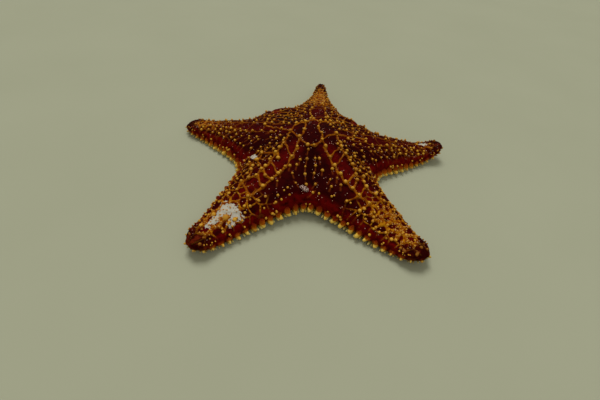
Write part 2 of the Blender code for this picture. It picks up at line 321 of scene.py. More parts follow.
def back_normal(index, s, y):
    step = 0.0004
    along = back_place(index, s + step, y) - back_place(index, s - step, y)
    across = back_place(index, s, y + step) - back_place(index, s, y - step)
    return unit(np.cross(along, across))


def edge_table():
    """Stations along the free edge and how many marginal plates lie before each."""
    s = np.linspace(NOTCH_S, ARM_RADIUS, 4000)
    length = np.concatenate([[0], np.cumsum(np.hypot(np.diff(s), np.diff(arm_half_width(s))))])
    return s, length / length[-1] * PLATES_PER_SIDE


EDGE_S, EDGE_PLATES = edge_table()


def plates_before(s):
    return np.interp(s, EDGE_S, EDGE_PLATES)


def station_of(plates):
    return np.interp(plates, EDGE_PLATES, EDGE_S)


def even_plan(index, s, y):
    """Plan position on the even star, whose arm number k heads to 72 k degrees."""
    return turned(s, y, 2 * SECTOR * index)


def from_plan(x, y):
    """The arm, s and y of points of the even star's plan."""
    index = np.round(np.arctan2(y, x) / (2 * SECTOR)).astype(int) % 5
    return index, *turned(x, y, -2 * SECTOR * index)


# ---- network of ridges

def hex_grid(spacing, jitter, margin):
    """Uneven triangular grid of plan points, out to a part of the outline's half width."""
    steps = int(1.1 * ARM_RADIUS / spacing)
    points = [((column + 0.5 * (row % 2)) * spacing, row * spacing * 0.866)
              for row in range(-2 * steps, 2 * steps + 1) for column in range(-steps, steps + 1)]
    points = np.array(points) + RANDOM.normal(0, jitter * spacing, (len(points), 2))
    _, s, y = from_plan(*points.T)
    return points[(s < 0.97 * ARM_RADIUS) & (np.abs(y) < margin * half_width(s) + 1e-4)]


def polar_plan(thousandths, heading):
    turn = math.radians(heading)
    return thousandths / 1000 * ARM_RADIUS * np.array([math.cos(turn), math.sin(turn)])


def rail_knobs(arm, side, step, shape):
    """Knobs along one rail of an arm's ladder, in plan."""
    s = np.arange(RAILS_START, RAILS_END, step)
    y = side * np.interp(s, *shape) + RANDOM.normal(0, 0.009, len(s))
    s = s + RANDOM.normal(0, 0.008, len(s))
    return np.stack(even_plan(arm, s * ARM_RADIUS, y * ARM_RADIUS), axis=1)


def wobble(x, y):
    """Small smooth shift of plan points that makes straight ridges wander."""
    shift_x = np.sin(y * 610 + 2.1 * np.sin(x * 330)) + 0.7 * np.sin(x * 940 + y * 410 + 1.3)
    shift_y = np.sin(x * 570 + 1.9 * np.sin(y * 370 + 0.8)) + 0.7 * np.sin(y * 1010 - x * 350)
    return RIDGE_WOBBLE * shift_x, RIDGE_WOBBLE * shift_y


def lay_ridges():
    """Start, end and boldness of every ridge of the disc and the ladders, and their knobs."""
    links, knobs = [], []

    def chain(spots, bold):
        links.extend((*start, *end, bold) for start, end in zip(spots, spots[1:]))
        knobs.extend((*spot, bold) for spot in spots)

    for ridge in DISC_RIDGES + FRONT_LEFT_RIDGES + FRONT_RIGHT_RIDGES:
        chain([polar_plan(*knob) for knob in ridge], HAND_BOLD)
    for arm in (RIGHT, BACK, LEFT):
        side, bold = NEAR_SIDES[arm], LADDER_BOLD[arm]
        near = rail_knobs(arm, side, NEAR_STEP, NEAR_RAIL)
        far = rail_knobs(arm, -side, FAR_STEP, FAR_RAIL)
        chain(near, bold)
        chain(far, bold)
        for spot in far:
            if RANDOM.random() < RUNG_CHANCE:
                nearest = near[np.argmin(np.hypot(*(near - spot).T))]
                links.append((*spot, *nearest, RUNG_BOLD * bold))
    knobs = np.array(knobs)
    apart = [np.hypot(*(knobs[:i, :2] - knob[:2]).T).min(initial=1) > KNOB_GAP
             for i, knob in enumerate(knobs)]
    knobs = knobs[apart]
    knobs[:, :2] -= np.stack(wobble(*knobs[:, :2].T), axis=1)
    return np.array(links), knobs


LINKS, RIDGE_KNOBS = lay_ridges()
CELLS = hex_grid(CELL_SPACING, 0.27, 1.3)


def in_chunks(work, x, y):
    """Runs work on the plan points a few thousand at a time; it gives one or more lists."""
    points = np.stack([np.ravel(x), np.ravel(y)], axis=1)
    parts = [work(chunk) for chunk in np.array_split(points, max(len(points) // 4000, 1))]
    return [np.concatenate(part).reshape(np.shape(x)) for part in zip(*parts)]


def ridge_distance(x, y):
    """Distance of plan points to the laid ridges, less where they meet, and the nearest's boldness."""
    starts, steps = LINKS[:, :2], LINKS[:, 2:4] - LINKS[:, :2]

    def work(points):
        rel = points[:, None] - starts
        along = np.clip((rel * steps).sum(2) / (steps ** 2).sum(1), 0, 1)
        gap = np.hypot(*(rel - along[..., None] * steps).transpose(2, 0, 1))
        blended = -RIDGE_FILLET * np.log(np.exp(-gap / RIDGE_FILLET).sum(1) + 1e-30)
        return np.maximum(blended, 0), LINKS[gap.argmin(1), 4]

    shift_x, shift_y = wobble(x, y)
    return in_chunks(work, x + shift_x, y + shift_y)


def knob_distance(x, y):
    """Distance of plan points to the nearest knob of the laid ridges."""
    def work(points):
        rel = points[:, None] - RIDGE_KNOBS[:, :2]
        return (np.hypot(rel[..., 0], rel[..., 1]).min(1),)

    return in_chunks(work, x, y)[0]


def cell_distance(x, y):
    """Distance of plan points to the edge of the small cell they are in."""
    gaps = np.hypot(*(CELLS[:, None] - CELLS).transpose(2, 0, 1))
    np.fill_diagonal(gaps, 1)

    def work(points):
        squares = ((points[:, None] - CELLS) ** 2).sum(2)
        own = squares.argmin(1)
        rows = np.arange(len(points))
        to_edge = (squares - squares[rows, own][:, None]) / (2 * gaps[own])
        to_edge[rows, own] = 1
        return (to_edge.min(1),)

    return in_chunks(work, x, y)[0]


def cell_share(index, s, y):
    """How far the small cells show: on the outer arms and on flanks turned away from the front."""
    out = s / ARM_RADIUS
    far = np.where(index == BACK, np.abs(y), -y * NEAR_SIDES[index]) / ARM_RADIUS
    outer = ramp(out, 0.50, 0.12)
    flank = ramp(far, 0.08, 0.03) * ramp(out, 0.18, 0.1)
    return np.maximum(CELL_BOLD[index] * outer, FLANK_BOLD[index] * flank)


def lone_knob_places():
    """Lone knobs as arm, s and y: in files down each web, and down the front of two side arms."""
    knobs = []
    for arm in range(5):
        for turn, first in LONE_FILES:
            start = first + 0.03 * RANDOM.random()
            for radius in np.arange(start, 0.475, 0.066):
                polar = SECTOR + math.radians(turn + RANDOM.normal(0, 2.0))
                reach = (radius + RANDOM.normal(0, 0.010)) * ARM_RADIUS
                index = arm
                if polar > SECTOR:
                    index, polar = (arm + 1) % 5, polar - 2 * SECTOR
                knobs.append((index, reach * math.cos(polar), reach * math.sin(polar)))
    for arm in (RIGHT, LEFT):
        for station in np.arange(0.42, 0.88, 0.052):
            for part in (0.28, 0.50, 0.72):
                s = (station + RANDOM.normal(0, 0.008)) * ARM_RADIUS
                t = part + RANDOM.normal(0, 0.045)
                knobs.append((arm, s, NEAR_SIDES[arm] * t * float(half_width(s))))
    return knobs


LONE_KNOBS = lone_knob_places()


def downhill(s, y):
    """Unit direction in which the even star's back falls."""
    step = 0.002
    along = back_height(s + step, y) - back_height(s - step, y)
    across = back_height(s, y + step) - back_height(s, y - step)
    steep = math.hypot(along, across) + 1e-9
    return -along / steep, -across / steep


def streak_distance(x, y):
    """Distance to the fine ridges that run down past the lone knobs."""
    nearest = np.full(np.shape(x), 1.0)
    for index, s, across in LONE_KNOBS:
        start_x, start_y = even_plan(index, s, across)
        fall_x, fall_y = even_plan(index, *downhill(s, across))
        rel_x, rel_y = x - start_x, y - start_y
        along = np.clip(rel_x * fall_x + rel_y * fall_y, -STREAK_UP, STREAK_DOWN)
        nearest = np.minimum(nearest, np.hypot(rel_x - along * fall_x, rel_y - along * fall_y))
    return nearest


# ---- markings and relief

def markings(index, s, y):
    """What the skin is like at points of the back: its colours' shares and its relief."""
    plan = even_plan(index, s, y)
    distance, bold = ridge_distance(*plan)
    out = s / ARM_RADIUS
    radius = np.hypot(s, y) / ARM_RADIUS
    t = np.clip(np.abs(y) / np.maximum(half_width(s), 1e-4), 0, 1)
    t = np.where(s < NOTCH_S, np.hypot(s, y) / NOTCH_RADIUS * smooth(t) ** 2, t)
    sway = np.sin(plan[0] * 480 + 1.5 * np.sin(plan[1] * 420))
    uneven = 1 + 0.3 * sway * np.sin(plan[1] * 530 + 0.4)
    near_knob = np.exp(-(knob_distance(*plan) / KNOB_REACH) ** 2)
    half = (RIDGE_HALF + RIDGE_EXTRA * bold) * uneven * (1 + 0.5 * near_knob)
    ridge = np.exp(-(distance / half) ** 2)
    cell = cell_distance(*plan)
    share = cell_share(index, s, y) * (1 - 0.7 * ramp(t, 0.75, 0.2))
    streak = np.exp(-(streak_distance(*plan) / RIDGE_HALF) ** 2)
    tip = ramp(out + 0.05 * t, TIP_START, TIP_RUN)
    from_web = (SECTOR - np.abs(np.arctan2(y, np.maximum(s, 1e-6)))) / math.radians(15)
    # Painted shade: the skin darkens in the valley between two arms, from near the disc's middle out to
    # about half an arm radius.
    painted_valley_shade = np.exp(-from_web ** 2) * ramp(radius, 0.08, 0.08) * smooth((0.50 - radius) / 0.15)
    ladder = np.exp(-(y / (0.06 * ARM_RADIUS)) ** 2) * ramp(radius, 0.08, 0.1) * LADDER_BOLD[index]
    # Crimson share of the skin between the ridges: low and near black on the flanks, partly the skin's
    # own dark maroon and partly painted shade; lower still in the painted valley shade; higher on the
    # ladder and near the margin.
    red = 0.14 + 0.5 * ladder * (1 - painted_valley_shade) + 0.8 * ramp(t, 0.74, 0.2) - 0.1 * painted_valley_shade
    ochre = ramp(out, OCHRE_START[index], 0.20) * (1 - ramp(t, 0.35, 0.4)) * (1 - tip)
    cell_half = 1.1 * RIDGE_HALF * (1 + 1.8 * ochre) * uneven
    cell_ridge = np.exp(-(cell / cell_half) ** 2)
    lift = RIDGE_RISE * np.maximum(ridge * (0.4 + 0.6 * bold), 0.7 * cell_ridge * share)
    return {
        "ridge": distance / half,
        "bold": bold,
        "cell": cell / cell_half,
        "share": share,
        "streak": streak * (1 - share),
        "bright": near_knob,
        "red": np.clip(red, 0, 1),
        "ochre": ochre,
        "pale": pale_patch(index, s, y),
        "tip": tip,
        "rib": np.zeros_like(s),
        "mouth": np.zeros_like(s),
        "lift": lift + 0.0005 * streak - 0.0002 * (1 - ridge),
    }


def pale_patch(index, s, y):
    """How far points lie in the bare whitish patches of the back."""
    share = np.zeros_like(s)
    for arm, middle_s, middle_y, half_s, half_y in PALE_PATCHES:
        off = np.hypot((s / ARM_RADIUS - middle_s) / half_s, (y / ARM_RADIUS - middle_y) / half_y)
        share = np.maximum(share, np.where(index == arm, np.clip(1.1 - 0.6 * off, 0, 1), 0.0))
    return share


def plain_markings(s, **marks):
    """Skin without ridges, cells or patches, but with the marks given."""
    zero = np.zeros_like(s)
    plain = dict.fromkeys(("bold", "share", "streak", "bright", "ochre", "pale", "rib", "lift"), zero)
    return {**plain, "ridge": zero + NO_RIDGE, "cell": zero + NO_RIDGE, **marks}


def wall_markings(s, height):
    """The side wall: crimson above and between the plates, and ochre round each plate."""
    plate = np.abs(plates_before(s) % 1 - 0.5) * 2
    rib = (1 - ramp(plate, 0.45, 0.4)) * (1 - ramp(height, 0.50, 0.25))
    return plain_markings(
        s,
        red=0.2 + 0.5 * ramp(height, 0.3, 0.4),
        tip=ramp(s / ARM_RADIUS, TIP_START, TIP_RUN),
        rib=rib,
        mouth=smooth((0.35 - height) / 0.3),
        lift=0.0006 * rib * np.sin(height * math.pi),
    )


def mouth_tip(s):
    """How far the dark tip shows on the mouth side."""
    return 0.5 * ramp(s / ARM_RADIUS, 0.92, 0.06)


def mouth_markings(s, y):
    """The mouth side, dark in the mouth itself."""
    paved = ramp(np.hypot(s, y) / ARM_RADIUS, 0.035, 0.02)
    return plain_markings(s, red=np.full_like(s, 0.35), tip=mouth_tip(s), mouth=paved)


# ---- skin

def skin_rows():
    inner = np.linspace(0, NOTCH_S, DISC_ROWS)
    run = np.linspace(0, PLATES_PER_SIDE, ARM_ROWS)
    return np.concatenate([inner[:-1], station_of(run)])


def grid_faces(first, rows, columns):
    """Quads over a grid of points that are numbered row by row."""
    corner = first + np.arange(rows - 1)[:, None] * columns + np.arange(columns - 1)[None]
    corner = corner.ravel()
    return np.stack([corner, corner + columns, corner + 1 + columns, corner + 1], axis=1)


def flipped(base, marks):
    """The grid with its columns turned round, so that its faces look the other way."""
    return base[:, ::-1], {name: values[:, ::-1] for name, values in marks.items()}


def skin_parts():
    """Grids of points of the skin's base with their markings: back, walls and mouth side."""
    rows = skin_rows()
    free = rows[rows >= NOTCH_S - 1e-9]
    # The columns of the back lie closer together towards its margins.
    back_t = np.sin(np.linspace(-1, 1, BACK_COLUMNS) * math.pi / 2 * 0.8) / math.sin(math.pi * 0.4)
    mouth_t = np.linspace(-1, 1, MOUTH_COLUMNS + 1)
    for index in range(5):
        s, t = np.meshgrid(rows, back_t, indexing="ij")
        y = t * half_width(s)
        yield back_place(index, s, y), markings(np.full(s.shape, index), s, y)
        s, t = np.meshgrid(rows, mouth_t, indexing="ij")
        y = t * half_width(s)
        yield flipped(place(index, s, y, mouth_height(s, y)), mouth_markings(s, y))
        for side in (1, -1):
            s, down = np.meshgrid(free, np.linspace(0, 1, WALL_COLUMNS), indexing="ij")
            bulge = MARGIN_BULGE * np.sin(down * math.pi) ** 0.7
            top = back_height(s, half_width(s)) / MARGIN_HEIGHT
            base = wall_place(index, s, side, bulge, top * (1 - down))
            marks = wall_markings(s, 1 - down)
            marks["lift"] = marks["lift"] * np.sin(down * math.pi)
            yield (base, marks) if side > 0 else flipped(base, marks)


def make_skin(material):
    points, faces, marks = [], [], []
    total = 0
    for base, part_marks in skin_parts():
        rows, columns = base.shape[:2]
        points.append(base.reshape(-1, 3))
        faces.append(grid_faces(total, rows, columns))
        marks.append({name: values.ravel() for name, values in part_marks.items()})
        total += rows * columns
    points = np.concatenate(points)
    _, keep, merged = np.unique(np.round(points * 1e6), axis=0, return_index=True, return_inverse=True)
    points = points[keep]
    faces = merged.ravel()[np.concatenate(faces)]
    marks = {name: np.concatenate([part[name] for part in marks])[keep] for name in marks[0]}
    mesh = bpy.data.meshes.new("skin")
    mesh.from_pydata(points, [], clean_faces(faces))
    mesh.validate()
    normals = np.zeros(len(mesh.vertices) * 3)
    mesh.vertex_normals.foreach_get("vector", normals)
    normals = normals.reshape(-1, 3)
    moved = points + normals * (marks.pop("lift") - SKIN_DEPTH)[:, None]
    moved[:, 2] = np.maximum(moved[:, 2], FLOOR_GAP)
    mesh.vertices.foreach_set("co", moved.ravel())
    for name, values in marks.items():
        add_attribute(mesh, name, values)
    return finish_piece("skin", mesh, material)


def clean_faces(faces):
    """Drops the corners that fell together and the faces that lost their area."""
    cleaned = [list(dict.fromkeys(face)) for face in faces.tolist()]
    return [face for face in cleaned if len(face) > 2]


def add_object(name, data):
    thing = bpy.data.objects.new(name, data)
    bpy.context.scene.collection.objects.link(thing)
    return thing


def add_attribute(mesh, name, values):
    attribute = mesh.attributes.new(name, "FLOAT", "POINT")
    attribute.data.foreach_set("value", np.asarray(values, np.float32))


def finish_piece(name, mesh, material):
    mesh.materials.append(material)
    mesh.shade_smooth()
    piece = add_object(name, mesh)
    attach(piece, "root")
    return piece


# ---- studs: knobs, spines and beads

# Outline of a stud from its buried foot to its top: height and radius as parts of the whole.
KNOB = ((-0.35, 1.15), (0.10, 1.0), (0.45, 0.86), (0.78, 0.58), (0.96, 0.26), (1.0, 0.0))
SPINE = ((-0.25, 1.0), (0.15, 1.0), (0.50, 0.88), (0.80, 0.66), (0.95, 0.36), (1.0, 0.0))
BEAD = ((-0.5, 0.9), (0.25, 1.0), (0.75, 0.66), (1.0, 0.0))
TUBE_FOOT = ((-0.3, 0.9), (0.2, 0.75), (0.7, 0.65), (0.86, 1.1), (0.97, 0.9), (1.0, 0.0))


def stud_rings(studs, profile, sides):
    """Rings of points from foot to top of each stud, with their heights and unwrap places."""
    count = len(studs["root"])
    axis = unit(studs["axis"])
    upright = np.abs(axis[:, 2]) > 0.95
    up = np.where(upright[:, None], (1.0, 0.0, 0.0), (0.0, 0.0, 1.0))
    across = unit(np.cross(up, axis))
    upward = np.cross(axis, across)
    turn = np.linspace(0, 2 * math.pi, sides, endpoint=False) + studs["turn"][:, None]
    points, heights, unwrap = [], [], []
    for level, (height, radius) in enumerate(profile[:-1]):
        rough = 1 + RANDOM.normal(0, 0.05, (count, sides))
        x = studs["wide"][:, None] * radius * np.cos(turn) * rough
        y = studs["tall"][:, None] * radius * np.sin(turn) * rough
        middle = studs["root"] + axis * (studs["length"] * height)[:, None]
        points.append(middle[:, None] + x[..., None] * across[:, None] + y[..., None] * upward[:, None])
        heights.append(np.full((count, sides), max(height, 0.0)))
        spread = UNWRAP_PATCH * (1 - level / (len(profile) - 1))
        offset = spread * np.stack([np.cos(turn), np.sin(turn)], axis=-1)
        unwrap.append(studs["unwrap"][:, None] + offset)
    points.append((studs["root"] + axis * studs["length"][:, None])[:, None])
    heights.append(np.ones((count, 1)))
    unwrap.append(studs["unwrap"][:, None])
    return [np.concatenate(parts, axis=1) for parts in (points, heights, unwrap)]


def stud_faces(levels, sides):
    """Faces of one stud: its foot, the bands between its rings and the fan at its top."""
    faces = [list(range(sides))[::-1]]
    for low in range(0, (levels - 1) * sides, sides):
        for side in range(sides):
            after = (side + 1) % sides
            faces.append([low + side, low + after, low + after + sides, low + side + sides])
    last = (levels - 1) * sides
    for side in range(sides):
        faces.append([last + side, last + (side + 1) % sides, last + sides])
    return faces


def make_studs(name, groups, profile, sides, material):
    """One piece of many studs. Each has a root, an axis, a length, two half widths and marks."""
    studs = {key: np.concatenate([group[key] for group in groups]) for key in groups[0]}
    points, height, unwrap = stud_rings(studs, profile, sides)
    points[..., 2] = np.maximum(points[..., 2], FLOOR_GAP)
    count, per_stud = height.shape
    faces = stud_faces(len(profile) - 1, sides)
    all_faces = []
    for first in range(0, count * per_stud, per_stud):
        all_faces.extend([first + corner for corner in face] for face in faces)
    mesh = bpy.data.meshes.new(name)
    mesh.from_pydata(points.reshape(-1, 3), [], all_faces)
    corners = np.zeros(len(mesh.loops), np.int32)
    mesh.loops.foreach_get("vertex_index", corners)
    layer = mesh.uv_layers.new(name="OFBake", do_init=False)
    flat = np.clip(unwrap.reshape(-1, 2), 0.001, 0.999)
    layer.uv.foreach_set("vector", flat[corners].astype(np.float32).ravel())
    add_attribute(mesh, "height", height.ravel())
    drop = 0.5 - (points[..., 2] - studs["root"][:, None, 2]) / (2 * studs["tall"][:, None])
    add_attribute(mesh, "drop", drop.ravel())
    for trait in ("tone", "tip", "pale"):
        add_attribute(mesh, trait, np.repeat(studs[trait], per_stud))
    finish_piece(name, mesh, material)


def unwrap_place(index, s, girth):
    """Place on an unwrap that lays each arm's skin out as a strip; girth runs -1 to 1."""
    across = (index + 0.5 + 0.46 * girth) / 5 + 0 * s
    return np.stack([across, 0.02 + 0.96 * s / ARM_RADIUS], axis=-1)


def back_girth(s, y):
    return 0.55 * y / np.maximum(half_width(s), 1e-5)


def back_studs(index, s, y, length, width, marks=None):
    """Studs that stand on the back, square to it."""
    marks = marks or markings(index, s, y)
    normal = back_normal(index, s, y)
    lift = marks["lift"] - SKIN_DEPTH
    count = len(s)
    return {
        "root": back_place(index, s, y) + normal * lift[:, None],
        "axis": unit(normal + RANDOM.normal(0, 0.10, (count, 3))),
        "length": length,
        "wide": width,
        "tall": width * RANDOM.uniform(0.88, 1.12, count),
        "turn": RANDOM.uniform(0, 6.28, count),
        "unwrap": unwrap_place(index, s, back_girth(s, y)),
        "tone": RANDOM.random(count),
        "tip": marks["tip"],
        "pale": marks["pale"],
    }


def outer_knobs():
    """Knobs on the flanks and outer arms, spread by rule."""
    index, s, y = from_plan(*hex_grid(0.047 * ARM_RADIUS, 0.25, 0.92).T)
    out = s / ARM_RADIUS
    dark_arm = np.isin(index, (RIGHT, LEFT)) & (out > 0.25)
    chance = np.maximum(0.30 * cell_share(index, s, y), 0.07 * dark_arm) + 0.3 * ramp(out, 0.88, 0.06)
    keep = RANDOM.random(len(s)) < chance
    return index[keep], s[keep], y[keep]


def flank_knobs():
    """Two uneven rows of knobs above the marginal plates, but where lone knobs run down."""
    groups = []
    for arm in range(5):
        for side in (-NEAR_SIDES[arm],) if arm in (RIGHT, LEFT) else (1, -1):
            for row in (0.62, 0.80):
                count = PLATES_PER_SIDE - 1
                plates = np.arange(count) + 0.5 + RANDOM.normal(0, 0.22, count)
                s = station_of(plates)[RANDOM.random(count) < 0.6]
                t = row + RANDOM.normal(0, 0.035, len(s))
                groups.append(np.stack([np.full(len(s), arm), s, side * t * half_width(s)]))
    index, s, y = np.concatenate(groups, axis=1)
    return index.astype(int), s, y


def make_knobs(material):
    """Knobs of the ridges, webs, flanks, outer arms, largest patch and side walls."""
    index, s, y = from_plan(*RIDGE_KNOBS[:, :2].T)
    bold = RIDGE_KNOBS[:, 2] * (1 - 0.5 * ramp(s / ARM_RADIUS, 0.45, 0.25))
    size = (0.00080 + 0.00065 * bold) * RANDOM.uniform(0.75, 1.25, len(s))
    groups = [back_studs(index, s, y, 1.05 * size, size)]
    index, s, y = np.array(LONE_KNOBS).T
    size = RANDOM.uniform(*LONE_KNOB_SIZES, len(s))
    groups.append(back_studs(index.astype(int), s, y, 1.25 * size, size))
    index, s, y = flank_knobs()
    size = RANDOM.uniform(*FLANK_KNOB_SIZES, len(s)) * (1 - 0.2 * (index == BACK))
    stretch = 1.2 + 0.8 * np.isin(index, (RIGHT, BACK, LEFT))
    groups.append(back_studs(index, s, y, stretch * size, size))
    index, s, y = outer_knobs()
    size = RANDOM.uniform(*OUTER_KNOB_SIZES, len(s))
    low = back_studs(index, s, y, 0.65 * size, size)
    low["tone"] = 0.45 * low["tone"]
    groups.append(low)
    s, y, size = np.array(PATCH_KNOBS).T * ARM_RADIUS
    groups.append(back_studs(np.full(len(s), FRONT_LEFT), s, y, 0.55 * size, size))
    for height in KNOB_ROW_HEIGHTS:
        plates = RANDOM.uniform(0.1, PLATES_PER_SIDE - 0.5, KNOBS_PER_ROW)
        groups += margin_studs(plates, height, *KNOB_ROW)
    make_studs("knobs", groups, KNOB, 10, material)


def scatter(count):
    """Random places spread evenly over the plan of the even star."""
    found = np.zeros((0, 2))
    while len(found) < count:
        trial = RANDOM.uniform(-ARM_RADIUS, ARM_RADIUS, (4 * count, 2))
        _, s, y = from_plan(*trial.T)
        good = (s < 0.975 * ARM_RADIUS) & (np.abs(y) < 0.97 * half_width(s))
        found = np.concatenate([found, trial[good]])
    return from_plan(*found[:count].T)


def make_beads(material):
    """Small beads all over the back, thickest on the ridges and the outer arms."""
    index, s, y = scatter(BEAD_PLACES)
    marks = markings(index, s, y)
    on_ridge = np.maximum(np.exp(-(marks["ridge"] / 1.3) ** 2) * marks["bold"],
                          np.exp(-(marks["cell"] / 1.3) ** 2) * marks["share"])
    chance = 0.12 + 0.35 * on_ridge + 0.25 * marks["ochre"] + 0.25 * marks["tip"]
    keep = RANDOM.random(len(s)) < chance
    index, s, y = index[keep], s[keep], y[keep]
    marks = {name: values[keep] for name, values in marks.items()}
    on_ridge = on_ridge[keep]
    size = RANDOM.uniform(*BEAD_SIZES, len(s)) * (1 + 0.5 * on_ridge + 0.4 * marks["ochre"])
    studs = back_studs(index, s, y, 1.1 * size, size, marks)
    studs["tone"] = np.clip(0.5 * on_ridge + 0.5 * marks["ochre"] + 0.3 * RANDOM.random(len(s)), 0, 1)
    in_hollow = (on_ridge < 0.2) & (marks["ochre"] < 0.3)
    studs["pale"] = np.where(in_hollow & (RANDOM.random(len(s)) < 0.6), 1.0, 0.0)
    make_studs("beads", [studs], BEAD, 6, material)


def margin_studs(plates, height, out, lean, length, wide, tall):
    """A row of studs on both walls of every arm, at counted places along the edge."""
    groups = []
    for arm, side in ARM_SIDES:
        s = station_of(plates + RANDOM.normal(0, 0.05, len(plates)))
        count = len(s)
        shrink = 1 - 0.50 * ramp(s / ARM_RADIUS, 0.60, 0.38)
        root = wall_place(arm, s, side, out, height)
        further = wall_place(arm, s, side, out + 0.001, height)
        axis = unit(further - root) + np.array([0, 0, lean])
        groups.append({
            "root": root,
            "axis": axis + RANDOM.normal(0, 0.07, (count, 3)),
            "length": length * shrink * RANDOM.uniform(0.88, 1.12, count),
            "wide": wide * shrink * RANDOM.uniform(0.75, 1.20, count),
            "tall": tall * shrink * RANDOM.uniform(0.75, 1.15, count),
            "turn": np.zeros(count),
            "unwrap": unwrap_place(arm, s, side * (0.75 - 0.15 * height)),
            "tone": RANDOM.random(count),
            "tip": 0.3 * ramp(s / ARM_RADIUS, TIP_START, TIP_RUN),
            "pale": np.zeros(count),
        })
    return groups


# ---- mouth side

def mouth_studs(index, s, y, z, axis, length, wide):
    """Studs rooted on the mouth side at the heights z, with axes given in world directions."""
    count = len(s)
    girth = np.where(y >= 0, 1, -1) * (1 - 0.22 * np.abs(y) / half_width(s))
    return {
        "root": place(index, s, y, z),
        "axis": axis,
        "length": np.full(count, length),
        "wide": np.full(count, wide),
        "tall": np.full(count, wide),
        "turn": RANDOM.uniform(0, 6.28, count),
        "unwrap": unwrap_place(index, s, girth),
        "tone": RANDOM.random(count),
        "tip": mouth_tip(s),
        "pale": np.zeros(count),
    }


def across_arm(index, s, side):
    """World direction across an arm, towards its middle from the given side."""
    return unit(place(index, s, 0 * s, 0) - place(index, s, side * FURROW_HALF + 0 * s, 0))


def make_furrow_spines(material):
    """Combs of short spines that lean over the furrows, and larger ones round the mouth."""
    groups = []
    for arm, side in ARM_SIDES:
        s = np.arange(0.09, 0.965, 0.020) * ARM_RADIUS
        y = side * 1.08 * FURROW_HALF + 0 * s
        lean = np.array([0, 0, 0.22]) + RANDOM.normal(0, 0.05, (len(s), 3))
        axis = across_arm(arm, s, side) + lean
        length = 0.0028 * (1 - 0.35 * ramp(s / ARM_RADIUS, 0.6, 0.35))
        groups.append(mouth_studs(arm, s, y, SKIN_DEPTH + 0.0004, axis, length, 0.00055))
    arms, sides = np.array(ARM_SIDES).T
    y = sides * 0.036 * ARM_RADIUS
    s = 0.075 * ARM_RADIUS + 0 * y
    inward = place(arms, 0 * s, 0 * y, 0) - place(arms, s, y, 0)
    groups.append(mouth_studs(arms, s, y, SKIN_DEPTH + 0.0007, unit(inward), 0.0042, 0.0009))
    make_studs("furrow_spines", groups, SPINE, 7, material)


def make_tube_feet(material):
    """Two rows of tube feet hanging in each furrow, each with a small sucker."""
    groups = []
    for arm, side in ARM_SIDES:
        s = (np.arange(0.10, 0.90, 0.023) + 0.006 * (side > 0)) * ARM_RADIUS
        y = side * 0.34 * FURROW_HALF + 0 * s
        roof = mouth_height(s, y) + SKIN_DEPTH
        axis = np.array([0, 0, -1.0]) + RANDOM.normal(0, 0.08, (len(s), 3))
        groups.append(mouth_studs(arm, s, y, roof, axis, 0.82 * roof, 0.00030 + 0.11 * roof))
    make_studs("tube_feet", groups, TUBE_FOOT, 8, material)


def make_mouth_granules(material):
    """Flat granules that pave the mouth side between the furrows and the margin."""
    index, s, y = from_plan(*hex_grid(0.027 * ARM_RADIUS, 0.10, 0.94).T)
    paved = (np.abs(y) > 1.25 * FURROW_HALF) & (np.hypot(s, y) > 0.10 * ARM_RADIUS)
    index, s, y = index[paved], s[paved], y[paved]
    wide = RANDOM.uniform(*GRANULE_SIZES, len(s))
    axis = np.tile([0, 0, -1.0], (len(s), 1))
    studs = mouth_studs(index, s, y, SKIN_DEPTH, axis, 0.00055, wide)
    make_studs("mouth_granules", [studs], BEAD, 7, material)


# ---- materials

def linear(red, green, blue):
    """Linear colour from screen values of 0 to 255."""
    parts = np.array([red, green, blue]) / 255
    return (*np.where(parts <= 0.04045, parts / 12.92, ((parts + 0.055) / 1.055) ** 2.4), 1)


def new_material(name, roughness):
    material = bpy.data.materials.new(name)
    material.use_nodes = True
    shader = material.node_tree.nodes["Principled BSDF"]
    shader.inputs["Roughness"].default_value = roughness
    shader.inputs["Specular IOR Level"].default_value = SPECULAR
    return material, material.node_tree, shader


def put(socket, value):
    """Links a socket, or sets its value; a colour is given in screen values."""
    if isinstance(value, bpy.types.NodeSocket):
        socket.id_data.links.new(value, socket)
    else:
        socket.default_value = linear(*value) if isinstance(value, tuple) else value


def mark(tree, name):
    node = tree.nodes.new("ShaderNodeAttribute")
    node.attribute_name = name
    return node.outputs["Fac"]


def times(a, b):
    return calculate("MULTIPLY", a, b)


def plus(a, b):
    return calculate("ADD", a, b)


def calculate(operation, a, b):
    node = a.id_data.nodes.new("ShaderNodeMath")
    node.operation = operation
    node.use_clamp = operation == "MULTIPLY"
    put(node.inputs[0], a)
    put(node.inputs[1], b)
    return node.outputs[0]


def fade(value, low, high):
    """0 below low, 1 above high, smooth between; falls where low is the larger."""
    node = value.id_data.nodes.new("ShaderNodeMapRange")
    node.interpolation_type = "SMOOTHSTEP"
    put(node.inputs["Value"], value)
    ends = (low, high, 0, 1) if high >= low else (high, low, 1, 0)
    for name, end in zip(("From Min", "From Max", "To Min", "To Max"), ends):
        node.inputs[name].default_value = end
    return node.outputs["Result"]


def mix(share, a, b):
    node = share.id_data.nodes.new("ShaderNodeMix")
    node.data_type = "RGBA"
    put(node.inputs[0], share)
    put(node.inputs[6], a)
    put(node.inputs[7], b)
    return node.outputs[2]


def noise(tree, scale, detail=3.0):
    """Grain fixed to the body; scale is in features a metre."""
    body = tree.nodes.new("ShaderNodeTexCoord")
    node = tree.nodes.new("ShaderNodeTexNoise")
    node.inputs["Scale"].default_value = scale
    node.inputs["Detail"].default_value = detail
    put(node.inputs["Vector"], body.outputs["Object"])
    return node.outputs["Fac"]


def finish_shader(shader, colour, height, distance):
    """Gives the shader its colour, and a bump from a grain of the given height."""
    put(shader.inputs["Base Color"], colour)
    node = height.id_data.nodes.new("ShaderNodeBump")
    node.inputs["Distance"].default_value = distance
    put(node.inputs["Height"], height)
    put(shader.inputs["Normal"], node.outputs["Normal"])


